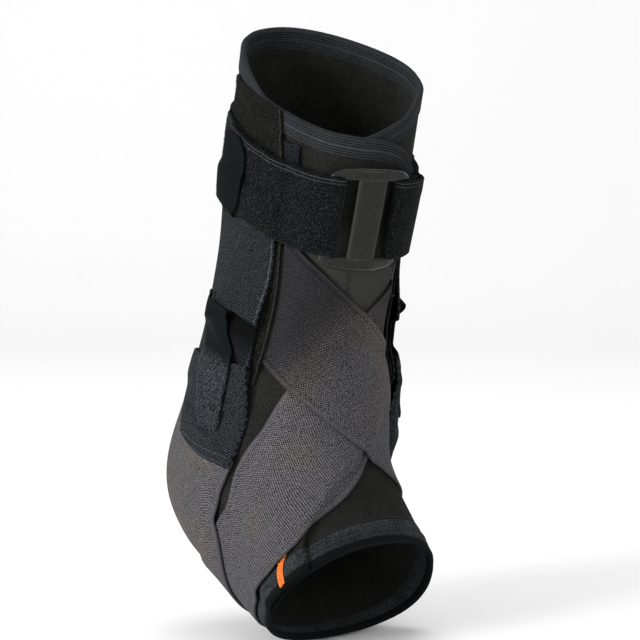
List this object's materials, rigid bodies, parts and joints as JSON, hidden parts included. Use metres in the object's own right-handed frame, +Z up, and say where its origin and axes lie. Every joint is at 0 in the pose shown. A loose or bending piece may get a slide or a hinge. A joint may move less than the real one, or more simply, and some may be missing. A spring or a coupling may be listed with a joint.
{
  "type": "ankle brace",
  "caption": "Right-foot wrap brace for the ankle with open heel and toes, crossed elastic straps, side hook ends and a cuff strap pulled through a plastic ring.",
  "frame": {"origin": "middle of the ankle joint, inside the hollow", "axes": "+Z up, -Y towards the toes, -X to the outer side of a right foot"},
  "size_m": [0.1112, 0.1408, 0.2848],
  "materials": {
    "wrap_knit": "fine black stretch knit",
    "trim_knit": "dense ribbed knit",
    "elastic": "grey twill elastic",
    "loop_pile": "brushed loop pile",
    "ribbed_band": "fine ribbed webbing",
    "smooth_tab": "smooth satin",
    "ring_plastic": "satin moulded",
    "orange_stitching": "zigzag stitching"
  },
  "bodies": {
    "root": {"base_wrap": "wrap_knit", "rim_band": "trim_knit", "forefoot_band": "trim_knit", "orange_mark": "orange_stitching", "keeper_tab": "ribbed_band", "lower_strap": "elastic", "upper_strap": "elastic", "lateral_loop_panel": "loop_pile", "medial_loop_panel": "loop_pile", "lateral_side_band": "ribbed_band", "medial_side_band": "ribbed_band", "lateral_hook_end": "ribbed_band", "medial_hook_end": "ribbed_band", "lateral_pull_tab": "smooth_tab", "medial_pull_tab": "smooth_tab", "cuff_strap": "loop_pile", "ring_anchor_strap": "loop_pile", "ring_buckle": "ring_plastic", "cuff_hook_tab": "smooth_tab"}
  },
  "joints": []
}
